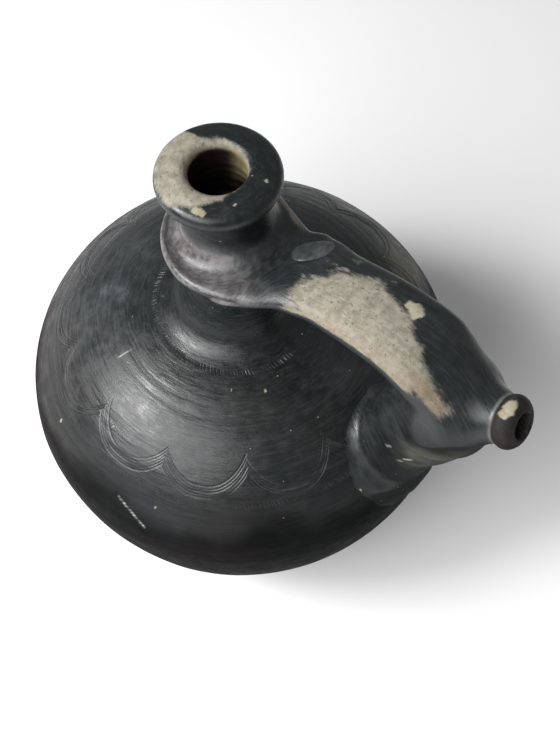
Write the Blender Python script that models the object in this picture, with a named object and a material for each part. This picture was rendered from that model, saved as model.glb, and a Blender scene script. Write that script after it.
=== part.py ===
"""Smoke-fired black clay water jug: globular belly, flanged neck, strap handle and drinking spout.

The origin is the centre of the underside of the base, +Z is up, and the handle and spout lie in
the XZ plane on the +X side.  Lengths below are in millimetres and angles in degrees; vertices are
scaled to metres when a mesh is made.
"""

import math

import bmesh
import bpy
from mathutils import Matrix, Vector

MM = 0.001
GAP = 0.3

# Belly: two wheel-thrown halves luted at the widest line, closed below by a floor disc.
BELLY_R = 120.0
EQUATOR_Z = 105.0
BELLY_WALL = 6.0
FLOOR_THICK = 8.0
FLOOR_R = 50.0
FOOT_ROUND = 1.6

# Shoulder curve, as heights above the widest line.
SHOULDER_RISE = 75.0
SHOULDER_R = 42.0
SHOULDER_WALL = 5.5
SHOULDER_PULL = (37.4, 49.0, 9.8)

# Neck, as heights above the widest line.
STEM_R = 24.0
STEM_MID = 108.0
STEM_TOP = 129.0
STEM_FLARE_R = 28.5
COLLAR_R = 36.0
COLLAR_RIM_H = 138.0
COLLAR_ROUND = 3.0
COLLAR_DRAW = 5.5
COLLAR_TOP = 146.5
COLLAR_TOP_R = 22.8
WAIST_R = 20.4
WAIST_H = 157.0
LIP_FOOT_H = 170.0
LIP_FOOT_R = 23.6
LIP_R = 28.3
LIP_TOP_H = 182.5
LIP_EDGE = 4.8
NECK_LEAN = (-2.3, -1.8)
BORE_R = 12.8
NECK_BORE_R = 14.0

# Spout: a hollow horn rising from the shoulder and bending outward into the drinking nozzle.
SPOUT_ROOT = (91.0, 5.0)
SPOUT_ROOT_PULL = (108.0, 50.0)
SPOUT_TIP = (139.4, 122.0)
SPOUT_TIP_PULL = 14.0
NOZZLE_RISE = 27.0
SPOUT_RADII = (23.5, 23.0, 22.0, 21.2, 19.8, 12.3)
SPOUT_WALL = 5.5
NOZZLE_BORE_R = 6.0
NOZZLE_LEN = 10.6
NOZZLE_END_R = 11.4
RIM_LEN = 6.2
RIM_R = 12.8
PASSAGE_R = 12.0

# Handle: a broad strap from the collar to the back of the spout horn.
HANDLE_FROM = ((29.0, 139.0), (50.0, 142.0), (72.0, 147.0), (92.0, 145.0))
HANDLE_ONTO = ((92.0, 145.0), (108.0, 143.4), (121.5, 138.5), (128.5, 121.0))
HANDLE_WIDE = (30.0, 19.8, 20.4, 21.6, 20.0)
HANDLE_THICK = (5.6, 8.2, 9.2, 9.6, 6.0)
THUMB_PAD = (46.5, 7.0, 149.0)
THUMB_SIZE = (5.0, 9.5, 2.2)

# Clay smeared round the root of the spout: centre as distance along the shoulder from the
# widest line, half lengths across and along it, and thickness at the edge and in the middle.
WELD_AT = 37.5
WELD_HALF = (29.0, 33.5)
WELD_THICK = (0.7, 12.0)

# Facets round the belly, the neck and the spout.
AROUND = 44
AROUND_NECK = 32
AROUND_SPOUT = 24
SPOUT_STEPS = 12


def clay(name, colour, roughness):
    """Burnished clay: a single opaque, non-metallic surface."""
    material = bpy.data.materials.new(name)
    material.use_nodes = True
    shader = material.node_tree.nodes["Principled BSDF"]
    shader.inputs["Base Color"].default_value = (*colour, 1.0)
    shader.inputs["Roughness"].default_value = roughness
    shader.inputs["Metallic"].default_value = 0.0
    material.diffuse_color = (*colour, 1.0)
    return material


def finish(name, bm, colour, roughness):
    """Turn a mesh in millimetres into a named object in metres, smooth-shaded and facing out."""
    bmesh.ops.remove_doubles(bm, verts=bm.verts, dist=1e-4)
    bmesh.ops.recalc_face_normals(bm, faces=bm.faces)
    bmesh.ops.scale(bm, vec=(MM, MM, MM), verts=bm.verts)
    mesh = bpy.data.meshes.new(name)
    bm.to_mesh(mesh)
    bm.free()
    mesh.polygons.foreach_set("use_smooth", [True] * len(mesh.polygons))
    mesh.set_sharp_from_angle(angle=math.radians(38.0))
    mesh.materials.append(clay(name + "_clay", colour, roughness))
    part = bpy.data.objects.new(name, mesh)
    bpy.context.scene.collection.objects.link(part)
    return part


def bezier(p0, p1, p2, p3, steps):
    """Points of a plane cubic curve, both ends included."""
    points = []
    for i in range(steps + 1):
        t = i / steps
        s = 1.0 - t
        weights = (s * s * s, 3.0 * s * s * t, 3.0 * s * t * t, t * t * t)
        points.append(tuple(sum(w * p[k] for w, p in zip(weights, (p0, p1, p2, p3))) for k in (0, 1)))
    return points


def lifted(points):
    """Heights measured above the widest line turned into heights above the ground."""
    return [(r, z + EQUATOR_Z) for r, z in points]


def arc(centre, radius, start, end, steps):
    """Points of a plane circular arc between two angles."""
    points = []
    for i in range(steps + 1):
        angle = math.radians(start + (end - start) * i / steps)
        points.append((centre[0] + radius * math.cos(angle), centre[1] + radius * math.sin(angle)))
    return points


def spun(profile, closed, steps):
    """Mesh swept once round the Z axis by a profile of (radius, height) points."""
    bm = bmesh.new()
    verts = [bm.verts.new((r, 0.0, z)) for r, z in profile]
    pairs = list(zip(verts, verts[1:]))
    if closed:
        pairs.append((verts[-1], verts[0]))
    edges = [bm.edges.new(pair) for pair in pairs]
    bmesh.ops.spin(
        bm,
        geom=verts + edges,
        cent=(0.0, 0.0, 0.0),
        axis=(0.0, 0.0, 1.0),
        angle=math.tau,
        steps=steps,
        use_merge=True,
    )
    return bm


def blend(values, t):
    """Smooth value at t between evenly spaced key values."""
    last = len(values) - 1
    i = min(int(t * last), last - 1)
    u = t * last - i
    u = u * u * (3.0 - 2.0 * u)
    return values[i] * (1.0 - u) + values[i + 1] * u


def ring_points(centre, tangent, half_y, half_n, power, steps):
    """Superellipse across a path that stays in the XZ plane."""
    normal = Vector((-tangent.z, 0.0, tangent.x))
    points = []
    for i in range(steps):
        angle = math.tau * i / steps
        c = math.cos(angle)
        s = math.sin(angle)
        y = half_y * math.copysign(abs(c) ** (2.0 / power), c)
        n = half_n * math.copysign(abs(s) ** (2.0 / power), s)
        points.append(centre + Vector((0.0, y, 0.0)) + normal * n)
    return points


def path_frames(path):
    """Centre and unit tangent at every point of a plane path of (x, z) points."""
    points = [Vector((x, 0.0, z)) for x, z in path]
    frames = []
    for i, point in enumerate(points):
        ahead = points[min(i + 1, len(points) - 1)]
        behind = points[max(i - 1, 0)]
        frames.append((point, (ahead - behind).normalized()))
    return frames


def skin(bm, rings):
    """Quad walls between successive rings of points; returns the rings of vertices."""
    made = [[bm.verts.new(p) for p in ring] for ring in rings]
    for one, two in zip(made, made[1:]):
        for i in range(len(one)):
            j = (i + 1) % len(one)
            bm.faces.new((one[i], one[j], two[j], two[i]))
    return made


def solid_along(rings):
    """Closed solid through a run of rings, with flat end faces."""
    bm = bmesh.new()
    made = skin(bm, rings)
    bm.faces.new(made[0])
    bm.faces.new(made[-1])
    bmesh.ops.triangulate(bm, faces=[f for f in bm.faces if len(f.verts) > 4])
    return bm


def tube_along(outer, inner):
    """Closed hollow tube: outer and inner walls joined by a rim at each end."""
    bm = bmesh.new()
    outside = skin(bm, outer)
    inside = skin(bm, inner)
    for rim_out, rim_in in ((outside[0], inside[0]), (outside[-1], inside[-1])):
        for i in range(len(rim_out)):
            j = (i + 1) % len(rim_out)
            bm.faces.new((rim_out[i], rim_out[j], rim_in[j], rim_in[i]))
    return bm


def cutter(name, bm):
    """Hidden tool body for a boolean cut, in metres."""
    bmesh.ops.remove_doubles(bm, verts=bm.verts, dist=1e-4)
    bmesh.ops.recalc_face_normals(bm, faces=bm.faces)
    bmesh.ops.scale(bm, vec=(MM, MM, MM), verts=bm.verts)
    mesh = bpy.data.meshes.new(name)
    bm.to_mesh(mesh)
    bm.free()
    tool = bpy.data.objects.new(name, mesh)
    bpy.context.scene.collection.objects.link(tool)
    tool.hide_render = True
    tool.display_type = "WIRE"
    return tool


def cut(part, tool):
    """Exact boolean: the part loses the space the tool takes."""
    modifier = part.modifiers.new("cut_" + tool.name, "BOOLEAN")
    modifier.operation = "DIFFERENCE"
    modifier.solver = "EXACT"
    modifier.object = tool


# ---------------------------------------------------------------- profiles


def shoulder_outer(start, steps):
    """Outer shoulder curve from just above the widest line to the foot of the neck."""
    rise, run, drop = SHOULDER_PULL
    points = bezier(
        (BELLY_R, start),
        (BELLY_R, rise),
        (SHOULDER_R + run, SHOULDER_RISE - drop),
        (SHOULDER_R, SHOULDER_RISE),
        steps,
    )
    return lifted(points)


def offset(points, distance):
    """Plane curve moved sideways by a distance, to the left of its direction of travel."""
    moved = []
    for i, (r, z) in enumerate(points):
        ahead = points[min(i + 1, len(points) - 1)]
        behind = points[max(i - 1, 0)]
        dr = ahead[0] - behind[0]
        dz = ahead[1] - behind[1]
        length = math.hypot(dr, dz)
        moved.append((r - dz / length * distance, z + dr / length * distance))
    return moved


def spout_path(steps):
    """Centreline of the spout horn, from inside the belly to the foot of the nozzle."""
    axis = nozzle_axis()
    pull = (SPOUT_TIP[0] - SPOUT_TIP_PULL * axis.x, SPOUT_TIP[1] - SPOUT_TIP_PULL * axis.z)
    return lifted(bezier(SPOUT_ROOT, SPOUT_ROOT_PULL, pull, SPOUT_TIP, steps))


def nozzle_axis():
    """Unit vector along the drinking nozzle, outward."""
    rise = math.radians(NOZZLE_RISE)
    return Vector((math.cos(rise), 0.0, math.sin(rise)))


def spout_frames(steps):
    """Centres and tangents along the spout horn, squared up to the nozzle at the tip."""
    frames = path_frames(spout_path(steps))
    frames[-1] = (frames[-1][0], nozzle_axis())
    return frames


def spout_rings(grow, steps):
    """Round rings along the spout horn, with every radius changed by grow."""
    frames = spout_frames(steps)
    rings = []
    for i, (centre, tangent) in enumerate(frames):
        radius = blend(SPOUT_RADII, i / steps) + grow
        rings.append(ring_points(centre, tangent, radius, radius, 2.0, AROUND_SPOUT))
    return rings


# ---------------------------------------------------------------- pieces


def build_floor_disc():
    """Flat floor the jug stands on."""
    edge = FOOT_ROUND / 2.0
    profile = [(0.0, 0.0), (FLOOR_R - edge, 0.0), (FLOOR_R, edge)]
    profile += [(FLOOR_R, FLOOR_THICK - edge), (FLOOR_R - edge, FLOOR_THICK), (0.0, FLOOR_THICK)]
    bm = spun(profile, False, AROUND)
    return finish("base_disc", bm, (0.030, 0.031, 0.031), 0.62)


def build_lower_bowl():
    """Lower half of the belly, a bowl standing on its foot ring."""
    centre = (0.0, EQUATOR_Z)
    foot_r = math.sqrt(BELLY_R**2 - EQUATOR_Z**2)
    start = -math.degrees(math.acos(foot_r / BELLY_R)) + 1.2
    outer = arc(centre, BELLY_R, start, 0.0, 12)
    outer[-1] = (BELLY_R, EQUATOR_Z - GAP / 2.0)
    inner_r = BELLY_R - BELLY_WALL
    depth = EQUATOR_Z - FLOOR_THICK
    stop = -math.degrees(math.asin(depth / inner_r))
    inner = arc(centre, inner_r, 0.0, stop, 10)
    inner[0] = (inner_r, EQUATOR_Z - GAP / 2.0)
    ring_r = FLOOR_R + GAP
    foot = [(foot_r - FOOT_ROUND, 0.0), (foot_r - 0.3, 0.5)]
    profile = [(ring_r, FLOOR_THICK), (ring_r, 0.0)] + foot + outer + inner
    bm = spun(profile, True, AROUND)
    return finish("lower_bowl", bm, (0.024, 0.028, 0.029), 0.40)


def build_shoulder():
    """Domed upper half of the belly, with a round passage cut through to the spout."""
    outer = shoulder_outer(GAP / 2.0, 12)
    inner = offset(outer, SHOULDER_WALL)
    inner[0] = (BELLY_R - SHOULDER_WALL, EQUATOR_Z + GAP / 2.0)
    inner[-1] = (SHOULDER_R, inner[-1][1])
    bm = spun(outer + inner[::-1], True, AROUND)
    part = finish("shoulder_dome", bm, (0.024, 0.029, 0.031), 0.34)
    frames = path_frames(spout_path(12))
    rings = [ring_points(c, t, PASSAGE_R, PASSAGE_R, 2.0, 24) for c, t in frames[:7]]
    cut(part, cutter("tool_passage", solid_along(rings)))
    return part


def build_neck_stem():
    """Trumpet-shaped foot of the neck, running up under the collar."""
    r = SHOULDER_R - GAP
    foot = bezier((r, SHOULDER_RISE + 0.1), (31.0, 77.6), (STEM_R, 84.0), (STEM_R, STEM_MID), 8)
    top = bezier((STEM_R, STEM_MID), (STEM_R, 117.0), (25.0, 123.5), (STEM_FLARE_R, STEM_TOP), 5)
    inner = [(NECK_BORE_R, STEM_TOP), (NECK_BORE_R, STEM_MID), (NECK_BORE_R, 92.0)]
    inner += [(18.0, 80.0), (27.0, 72.5), (r, SHOULDER_RISE - SHOULDER_WALL)]
    bm = spun(lifted(foot + top[1:] + inner), True, AROUND_NECK)
    return finish("neck_stem", bm, (0.025, 0.030, 0.032), 0.33)


def draw_out(bm):
    """Slide the flange toward the handle, most at its rim and not at all at the neck."""
    for vert in bm.verts:
        radius = math.hypot(vert.co.x, vert.co.y)
        share = (radius - COLLAR_TOP_R) / (COLLAR_R - COLLAR_TOP_R)
        vert.co.x += COLLAR_DRAW * min(max(share, 0.0), 1.0)


def build_collar():
    """Wide flange round the neck, its rounded rim drawn out toward the handle."""
    under = bezier((22.6, STEM_TOP + GAP), (29.0, STEM_TOP + GAP), (32.5, 132.0),
                   (34.4, COLLAR_RIM_H - 2.2), 4)
    rim = arc((COLLAR_R - COLLAR_ROUND, COLLAR_RIM_H), COLLAR_ROUND, -30.0, 80.0, 5)
    top = bezier((31.6, 140.4), (28.0, 139.6), (24.0, 142.2), (COLLAR_TOP_R, COLLAR_TOP), 5)
    bore = [(NECK_BORE_R, COLLAR_TOP), (NECK_BORE_R, STEM_TOP + GAP)]
    bm = spun(lifted(under + rim + top + bore), True, AROUND_NECK)
    draw_out(bm)
    return finish("neck_collar", bm, (0.052, 0.050, 0.050), 0.46)


def lean(bm):
    """Shear everything above the collar a little to one side, as the thrown neck leans."""
    for vert in bm.verts:
        share = (vert.co.z - EQUATOR_Z - COLLAR_TOP) / (LIP_TOP_H - COLLAR_TOP)
        vert.co.x += NECK_LEAN[0] * share
        vert.co.y += NECK_LEAN[1] * share


def build_upper_neck():
    """Narrow waist between the collar and the mouth."""
    low = bezier((COLLAR_TOP_R - 0.1, COLLAR_TOP + GAP), (21.2, 149.5), (WAIST_R, 152.5),
                 (WAIST_R, WAIST_H), 4)
    high = bezier((WAIST_R, WAIST_H), (WAIST_R, 162.0), (21.4, 167.0), (LIP_FOOT_R, LIP_FOOT_H), 4)
    bore = [(NECK_BORE_R, LIP_FOOT_H), (NECK_BORE_R, COLLAR_TOP + GAP)]
    bm = spun(lifted(low + high[1:] + bore), True, AROUND_NECK)
    lean(bm)
    return finish("upper_neck", bm, (0.034, 0.035, 0.036), 0.42)


def build_lip():
    """Thick disc-shaped mouth with a rounded edge and a round bore."""
    top = LIP_TOP_H
    under = [(NECK_BORE_R, LIP_FOOT_H + GAP), (LIP_FOOT_R + 0.2, LIP_FOOT_H + GAP)]
    edge = arc((LIP_R - LIP_EDGE, top - LIP_EDGE - 1.6), LIP_EDGE, -55.0, 75.0, 8)
    crown = bezier((23.0, top - 1.3), (20.0, top - 0.4), (17.5, top + 0.1), (15.4, top - 0.6), 3)
    throat = bezier((14.2, top - 1.2), (13.2, top - 2.2), (BORE_R, top - 3.6), (BORE_R, top - 6.0), 3)
    throat.append((BORE_R + 0.2, top - 10.0))
    bm = spun(lifted(under + edge + crown + throat), True, AROUND_NECK)
    lean(bm)
    return finish("mouth_lip", bm, (0.045, 0.046, 0.046), 0.44)


def handle_rings(grow):
    """Rings of the strap, from inside the collar to inside the spout horn."""
    steps = 8
    path = lifted(bezier(*HANDLE_FROM, steps) + bezier(*HANDLE_ONTO, steps)[1:])
    frames = path_frames(path)
    rings = []
    for i, (centre, tangent) in enumerate(frames):
        t = i / (len(frames) - 1)
        wide = blend(HANDLE_WIDE, t) + grow
        thick = blend(HANDLE_THICK, t) + grow
        rings.append(ring_points(centre, tangent, wide, thick, 2.5, 24))
    return rings


def build_handle():
    """Broad strap handle, hollowed at its ends to sit against the collar and the spout."""
    part = finish("strap_handle", solid_along(handle_rings(0.0)), (0.060, 0.058, 0.055), 0.45)
    cut(part, collar_tool())
    clear = [(4.0, SPOUT_RADII[-1] + GAP), (NOZZLE_LEN + RIM_LEN, RIM_R + GAP)]
    horn = spout_rings(GAP, SPOUT_STEPS) + nozzle_rings(clear)
    cut(part, cutter("tool_spout_back", solid_along(horn)))
    cut(part, cutter("tool_thumb", thumb_shape(GAP)))
    return part


def collar_tool():
    """Round plug standing clear of the collar all round."""
    top = EQUATOR_Z + COLLAR_TOP + 12.0
    low = EQUATOR_Z + STEM_TOP - 12.0
    clear = COLLAR_R + GAP
    profile = [(0.0, low), (clear, low), (clear, top), (0.0, top)]
    bm = spun(profile, False, AROUND_NECK)
    bmesh.ops.translate(bm, vec=(COLLAR_DRAW, 0.0, 0.0), verts=bm.verts)
    return cutter("tool_collar", bm)


def thumb_shape(grow):
    """Lens of clay pressed on with a thumb where the handle meets the collar."""
    x, y, h = THUMB_PAD
    bm = bmesh.new()
    bmesh.ops.create_uvsphere(bm, u_segments=16, v_segments=8, radius=1.0)
    size = Matrix.Diagonal([half + grow for half in THUMB_SIZE] + [1.0])
    lean = Matrix.Rotation(math.radians(-10.0), 4, "Y")
    place = Matrix.Translation((x, y, EQUATOR_Z + h)) @ lean
    bmesh.ops.transform(bm, matrix=place @ size, verts=bm.verts)
    return bm


def build_thumb_pad():
    """The thumbed lens itself, seated in its print."""
    return finish("thumb_pad", thumb_shape(0.0), (0.050, 0.056, 0.062), 0.36)


def build_spout():
    """Hollow horn rising from the shoulder and bending out to the nozzle."""
    bm = tube_along(spout_rings(0.0, SPOUT_STEPS), spout_bore(SPOUT_STEPS))
    part = finish("spout_horn", bm, (0.030, 0.031, 0.032), 0.40)
    cut(part, shoulder_tool("tool_shoulder_spout"))
    return part


def spout_bore(steps):
    """Rings of the water way inside the horn."""
    frames = spout_frames(steps)
    rings = []
    for i, (centre, tangent) in enumerate(frames):
        radius = max(blend(SPOUT_RADII, i / steps) - SPOUT_WALL, NOZZLE_BORE_R)
        rings.append(ring_points(centre, tangent, radius, radius, 2.0, AROUND_SPOUT))
    return rings


def shoulder_tool(name):
    """Solid of the upper belly, standing a hair outside its surface."""
    lower = arc((0.0, EQUATOR_Z), BELLY_R + GAP, -50.0, -4.0, 6)
    outer = offset(shoulder_outer(0.0, 12), -GAP)
    profile = [(0.0, lower[0][1])] + lower + outer
    profile += [(SHOULDER_R - 3.0, outer[-1][1]), (0.0, outer[-1][1])]
    return cutter(name, spun(profile, False, AROUND))


def shoulder_at(run):
    """Point and outward normal of the shoulder curve, a given distance up it."""
    points = shoulder_outer(0.0, 60)
    gone = 0.0
    for one, two in zip(points, points[1:]):
        step = math.dist(one, two)
        if gone + step >= run:
            u = (run - gone) / step
            r = one[0] + (two[0] - one[0]) * u
            z = one[1] + (two[1] - one[1]) * u
            return r, z, (two[1] - one[1]) / step, (one[0] - two[0]) / step
        gone += step
    raise ValueError("distance runs off the shoulder")


def weld_point(across, along, thick):
    """Point over the shoulder, from distances across and along it and a height off it."""
    r, z, nr, nz = shoulder_at(WELD_AT + along)
    angle = across / r
    reach = r + nr * thick
    return Vector((reach * math.cos(angle), reach * math.sin(angle), z + nz * thick))


def weld_thick(share):
    """Thickness of the smeared clay, from its middle (0) to its edge (1)."""
    edge, middle = WELD_THICK
    return edge + (middle - edge) * (1.0 - share * share)


def build_root_weld():
    """Clay smeared round the root of the spout, thinning out onto the shoulder."""
    bm = bmesh.new()
    shells = []
    for under in (True, False):
        rings = []
        for i in range(1, 8):
            share = i / 7.0
            thick = GAP if under else GAP + weld_thick(share)
            ring = []
            for k in range(AROUND_SPOUT):
                angle = math.tau * k / AROUND_SPOUT
                across = WELD_HALF[0] * share * math.cos(angle)
                along = WELD_HALF[1] * share * math.sin(angle)
                ring.append(weld_point(across, along, thick))
            rings.append(ring)
        shells.append(skin(bm, rings))
        middle = bm.verts.new(weld_point(0.0, 0.0, GAP if under else GAP + weld_thick(0.0)))
        first = shells[-1][0]
        for k in range(AROUND_SPOUT):
            bm.faces.new((middle, first[k], first[(k + 1) % AROUND_SPOUT]))
    low, high = shells[0][-1], shells[1][-1]
    for k in range(AROUND_SPOUT):
        j = (k + 1) % AROUND_SPOUT
        bm.faces.new((low[k], low[j], high[j], high[k]))
    part = finish("spout_root_weld", bm, (0.030, 0.034, 0.036), 0.34)
    cut(part, cutter("tool_spout_root", solid_along(spout_rings(GAP, SPOUT_STEPS))))
    return part


def nozzle_rings(spec):
    """Rings along the nozzle axis from (distance, radius) pairs."""
    tangent = nozzle_axis()
    foot = Vector((SPOUT_TIP[0], 0.0, SPOUT_TIP[1] + EQUATOR_Z))
    rings = []
    for along, radius in spec:
        rings.append(ring_points(foot + tangent * along, tangent, radius, radius, 2.0, AROUND_SPOUT))
    return rings


def build_nozzle():
    """Short straight drinking nozzle."""
    low = SPOUT_RADII[-1]
    outer = [(GAP, low), (3.0, low - 0.5), (7.0, NOZZLE_END_R), (NOZZLE_LEN, NOZZLE_END_R + 0.2)]
    inner = [(GAP, NOZZLE_BORE_R), (NOZZLE_LEN, NOZZLE_BORE_R)]
    bm = tube_along(nozzle_rings(outer), nozzle_rings(inner))
    return finish("spout_nozzle", bm, (0.030, 0.029, 0.028), 0.40)


def build_nozzle_rim():
    """Rounded ring round the mouth of the nozzle."""
    start = NOZZLE_LEN + GAP
    half = RIM_LEN / 2.0
    outer = [(start, NOZZLE_END_R + 0.3)]
    for along, radius in arc((start + half, RIM_R - half), half, 150.0, 30.0, 5):
        outer.append((along, radius))
    end = start + RIM_LEN
    outer.append((end, RIM_R - half - 1.2))
    inner = [(start, NOZZLE_BORE_R), (end - 2.6, NOZZLE_BORE_R), (end, NOZZLE_BORE_R + 1.2)]
    bm = tube_along(nozzle_rings(outer), nozzle_rings(inner))
    return finish("nozzle_rim", bm, (0.060, 0.050, 0.038), 0.50)


def main():
    for leftover in list(bpy.data.objects):
        bpy.data.objects.remove(leftover, do_unlink=True)
    build_floor_disc()
    build_lower_bowl()
    build_shoulder()
    build_neck_stem()
    build_collar()
    build_upper_neck()
    build_lip()
    build_handle()
    build_thumb_pad()
    build_spout()
    build_root_weld()
    build_nozzle()
    build_nozzle_rim()


main()
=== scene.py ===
"""Looks of the smoke-fired black clay water jug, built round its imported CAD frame.

Shapes are worked out in millimetres as (x, y, h), with h measured above the widest line of the
belly, and turned into metres when a mesh is made.  The belly and the foot of the neck are turned
on a fine grid; the collar, mouth, strap and spout are one smoothly blended clay body, given as a
signed distance, meshed once and then parted into the pieces that stand for the CAD nodes.
"""

import math

import bmesh
import bpy
import numpy as np
from mathutils import Matrix, Vector


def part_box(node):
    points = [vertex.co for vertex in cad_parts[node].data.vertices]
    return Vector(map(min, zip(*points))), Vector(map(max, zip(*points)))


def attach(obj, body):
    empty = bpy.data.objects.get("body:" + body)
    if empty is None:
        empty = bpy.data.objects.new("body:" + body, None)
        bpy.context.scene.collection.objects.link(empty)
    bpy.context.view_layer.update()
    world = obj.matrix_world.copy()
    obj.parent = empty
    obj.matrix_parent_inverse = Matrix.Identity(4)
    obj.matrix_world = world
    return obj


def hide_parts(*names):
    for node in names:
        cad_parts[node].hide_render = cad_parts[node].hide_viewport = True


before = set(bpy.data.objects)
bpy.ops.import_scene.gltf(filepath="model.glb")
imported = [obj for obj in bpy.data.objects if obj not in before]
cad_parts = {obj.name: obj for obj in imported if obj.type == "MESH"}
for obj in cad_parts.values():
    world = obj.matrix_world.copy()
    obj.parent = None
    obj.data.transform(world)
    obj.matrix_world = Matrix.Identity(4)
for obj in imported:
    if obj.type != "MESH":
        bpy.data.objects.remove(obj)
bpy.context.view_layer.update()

MM = 0.001
EQUATOR = 0.5 * (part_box("lower_bowl")[1][2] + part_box("shoulder_dome")[0][2]) / MM
BODY = "root"

# ---- dimensions, in mm

BELLY_R = 120
FOOT_H = -EQUATOR
FLOOR_R = 50.3
BELLY_WALL = 6
BELLY_SHIFT = 1.2           # the belly stands this far off the neck's axis
BELLY_SHIFT_AZ = 94
SHOULDER_R = 42
SHOULDER_RISE = 75
STEM_CUT = 118            # the turned foot of the neck ends here, and the blended body begins
NECK_BORE_R = 13.6

NECK_LEAN = (-2.3, -1.8)
LEAN_FROM, LEAN_TO = 146.5, 182.5
COLLAR_DRAW = 5.5
COLLAR_TOP_R, COLLAR_R = 22.8, 36

HANDLE_PATH = (
    ((4, 134.5), (14, 138), (22, 139.4), (29, 139.4)),
    ((29, 139.4), (50, 142), (72, 147), (92, 145)),
    ((92, 145), (108, 143.4), (121.5, 138.5), (128.5, 121)),
)
# (distance along the path, half width, half thickness)
HANDLE_KEYS = (
    (0, 10, 1.2), (21, 25.5, 2.8), (29, 26, 4.8), (43, 22, 7), (58, 20, 8.2),
    (89, 20.4, 9.2), (110, 21.6, 9.6), (133, 17, 6),
)
HANDLE_POWER = 2.5
HANDLE_DRIFT = 2.4          # near the neck the strap runs this far toward -y
WEB_AZ, WEB_FLAT = 67.4, 30.4   # the collar is pared flat on this side, this far from the axis

HORN_PATH = ((91, 5), (108, 50), (139.4, 122))
HORN_RADII = (23.5, 23, 22.4, 22.6, 22, 15)
NOZZLE_RISE = 25
NOZZLE_PULL = 24
HORN_BEND = (66, 88)        # steps along the centreline between which the two runs overlap
NOZZLE_LEN = 13.4
NOZZLE_END_R = 10.9
NOZZLE_BORE_R = 5.6
# The rim is an egg of clay round the nozzle: its middle, half length, radius and cut-off face.
BEAD_AT, BEAD_HALF, BEAD_R, BEAD_FACE = 16.7, 7.3, 12.1, 5.6

WELD_AT, WELD_HALF, WELD_THICK = 37.5, (29, 33.5), (0.9, 12)

FESTOONS = 13
FESTOON_AZ = -20.5          # azimuth of one cusp
FESTOON_R = 95            # radius at which the garlands hang, about
COMB_TEETH = 5
COMB_PITCH = 1.55
UPPER_DASHES, LOWER_DASHES = 150, 330
INCISED_DEPTH, CHIP_DEPTH = 0.30, 0.30

NET_CELL = 0.75

# Where the blended clay is parted into pieces: heights, and points with the way out of the piece.
LIP_CUT, WAIST_CUT = 170.2, 147.4
STRAP_FROM = (32, 0, 0)
STRAP_TO, STRAP_WAY = (120, 0, 140.6), (0.60, 0, -0.80)
WELD_TOP, WELD_WAY = (104.6, 0, 58), (0.30, 0, 0.95)

LENS_HALF, LENS_AT = (7.6, 10.4, 2), (41.2, 9.4, 146.1)
LENS_TURNS = ((-24, "Z"), (-24, "Y"), (-5, "X"))


# ---- small maths


def unit(value):
    """A value kept within 0 and 1."""
    return np.clip(value, 0, 1)


def smooth(low, high, value):
    """0 below low, 1 above high, eased between."""
    share = unit((value - low) / (high - low))
    return share * share * (3 - 2 * share)


def bump(centre, half, value):
    """1 at the centre, easing to 0 at centre - half and centre + half."""
    return 1 - smooth(0, half, np.abs(value - centre))


def unit_rows(vectors):
    """Vectors along the last axis, each scaled to a length of 1."""
    return vectors / np.maximum(np.linalg.norm(vectors, axis=-1, keepdims=True), 1e-12)


def bezier(p0, p1, p2, p3, steps):
    """Points of a plane cubic curve, both ends included."""
    t = np.linspace(0, 1, steps + 1)[:, None]
    s = 1 - t
    shares = (s**3, 3 * s * s * t, 3 * s * t * t, t**3)
    return sum(share * np.array(p) for share, p in zip(shares, (p0, p1, p2, p3)))


def arc(centre, radius, start, end, steps):
    """Points of a plane circular arc between two angles in degrees."""
    a = np.radians(np.linspace(start, end, steps + 1))
    return np.column_stack((centre[0] + radius * np.cos(a), centre[1] + radius * np.sin(a)))


def joined(*runs):
    """Curves laid end to end, with repeated end points dropped."""
    points = np.vstack(runs)
    step = np.hypot(*np.diff(points, axis=0).T)
    return points[np.concatenate(([True], step > 1e-3))]


def lengths(points):
    """Distance along a polyline at each of its points."""
    return np.concatenate(([0], np.cumsum(np.hypot(*np.diff(points, axis=0).T))))


def resampled(points, at):
    """Polyline points at the given distances along it."""
    run = lengths(points)
    return np.column_stack([np.interp(at, run, points[:, k]) for k in range(points.shape[1])])


def lattice(i, j, k, seed):
    """Repeatable random value in 0..1 for each whole-number lattice point."""
    n = (i * 374761393 + j * 668265263 + k * 1274126177 + seed * 974711) & 0xFFFFFFFF
    n = ((n ^ (n >> 13)) * 1274126177) & 0xFFFFFFFF
    return ((n ^ (n >> 16)) & 0xFFFF) / 65535


def number_value(number, seed):
    """Repeatable random value in 0..1 for each whole number."""
    return lattice(number.astype(np.int64), 0, 0, seed)


def noise(points, size, seed):
    """Smooth random value in -1..1 at each point, with lumps about size across."""
    q = points / size
    cell = np.floor(q).astype(np.int64)
    f = q - cell
    f = f * f * (3 - 2 * f)
    total = np.zeros(len(points))
    for corner in range(8):
        pick = [(corner >> axis) & 1 for axis in range(3)]
        weight = np.ones(len(points))
        for axis in range(3):
            weight = weight * (f[:, axis] if pick[axis] else 1 - f[:, axis])
        total += weight * lattice(*(cell[:, axis] + pick[axis] for axis in range(3)), seed)
    return total * 2 - 1


def cloudy(points, size, seed, octaves=4):
    """Fractal noise in about -1..1."""
    total = np.zeros(len(points))
    for octave in range(octaves):
        total += noise(points, size / 2**octave, seed + octave) * 0.5**octave
    return total / 1.6


def smooth_min(a, b, k):
    """Union of two distances with a fillet about k wide."""
    h = unit(0.5 + 0.5 * (b - a) / k)
    return b * (1 - h) + a * h - k * h * (1 - h)


# ---- outlines of the turned clay


# Control points, as (radius, height), where the trumpet foot of the neck widens into the flange.
STEM_RISE = ((24, 108), (24, 117), (25, 123.5), (26.8, 129))


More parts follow.
